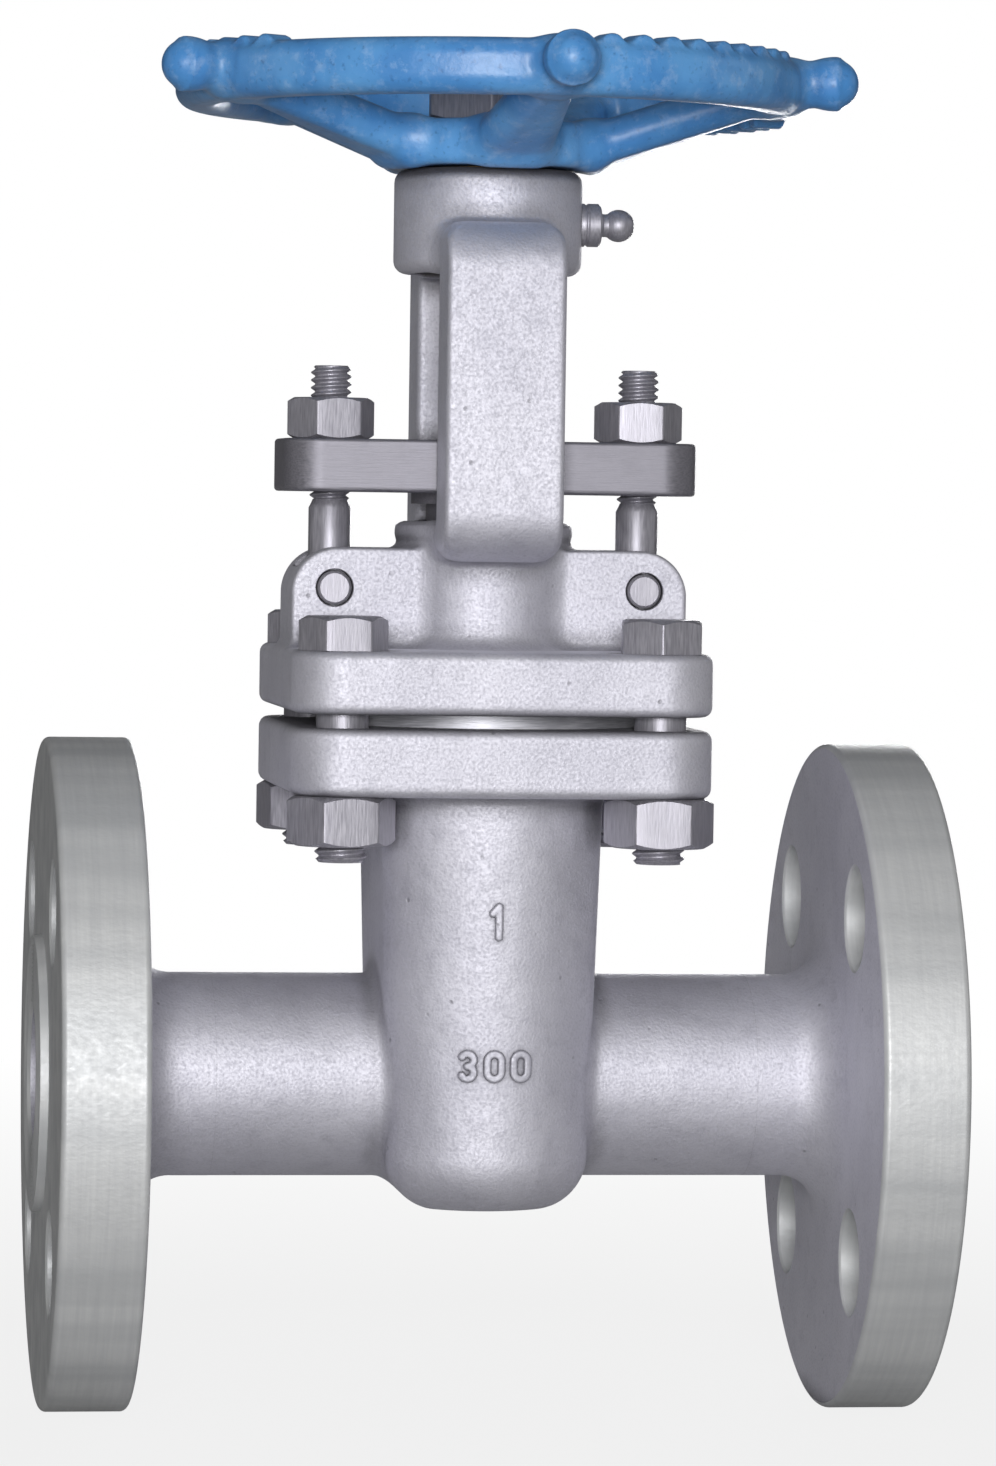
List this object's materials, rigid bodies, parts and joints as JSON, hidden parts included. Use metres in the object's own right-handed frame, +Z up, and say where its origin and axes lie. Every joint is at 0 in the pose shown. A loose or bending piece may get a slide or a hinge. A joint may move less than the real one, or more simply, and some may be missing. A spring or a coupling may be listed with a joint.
{
  "type": "flanged gate valve",
  "caption": "Flanged gate valve with outside screw and yoke, square bolted bonnet, two-bolt gland and lobed handwheel; rising stem lifts a solid wedge.",
  "frame": {"origin": "centre of the raised sealing face of the inlet flange, on the pipe axis", "axes": "+X along the pipe from the inlet to the outlet, +Z up along the stem to the handwheel, +Y across the valve, away from the side with the raised numbers"},
  "size_m": [0.165, 0.1298, 0.2512],
  "materials": {
    "forged_steel": "pickled and blasted stainless forging, machined flange rims",
    "seat_steel": "ground and lapped",
    "stem_steel": "turned and polished",
    "bushing_steel": "turned",
    "gasket_steel": "wound steel and graphite",
    "bolt_steel": "bright drawn bar",
    "gland_steel": "milled",
    "graphite": "pressed graphite",
    "sleeve_bronze": "turned",
    "wheel_paint": "gloss blue enamel on cast iron"
  },
  "bodies": {
    "root": {"body": "forged_steel", "bonnet": "forged_steel", "seat_ring_inlet": "seat_steel", "seat_ring_outlet": "seat_steel", "backseat_bushing": "bushing_steel", "bonnet_gasket": "gasket_steel", "bonnet_bolts": "bolt_steel", "bonnet_nuts": "bolt_steel", "packing_ring_1": "graphite", "packing_ring_2": "graphite", "packing_ring_3": "graphite", "packing_ring_4": "graphite", "gland_eyebolts": "bolt_steel", "eyebolt_pins": "bolt_steel", "thrust_washer": "bushing_steel", "grease_nipple": "bolt_steel"},
    "handwheel": {"handwheel": "wheel_paint", "handwheel_key": "bushing_steel", "handwheel_nut": "bolt_steel", "yoke_sleeve": "sleeve_bronze"},
    "stem": {"stem": "stem_steel", "wedge": "seat_steel"},
    "gland": {"gland_flange": "gland_steel", "gland_follower": "gland_steel", "gland_nuts": "bolt_steel"}
  },
  "joints": [
    {"name": "handwheel_turn", "type": "hinge", "parent": "root", "child": "handwheel", "pos_m": [0.0825, 0, 0.17], "axis": [0, 0, 1], "range_deg": [0, 2610]},
    {"name": "stem_lift", "type": "slide", "parent": "root", "child": "stem", "axis": [0, 0, 1], "range_m": [0, 0.029]},
    {"name": "gland_adjust", "type": "slide", "parent": "root", "child": "gland", "axis": [0, 0, -1], "range_m": [0, 0.003], "deforming": ["packing_ring_1", "packing_ring_2", "packing_ring_3", "packing_ring_4"]}
  ],
  "couplings": [
    {"joint": "stem_lift", "follows": "handwheel_turn", "m_per_rad": 0.00063662}
  ]
}
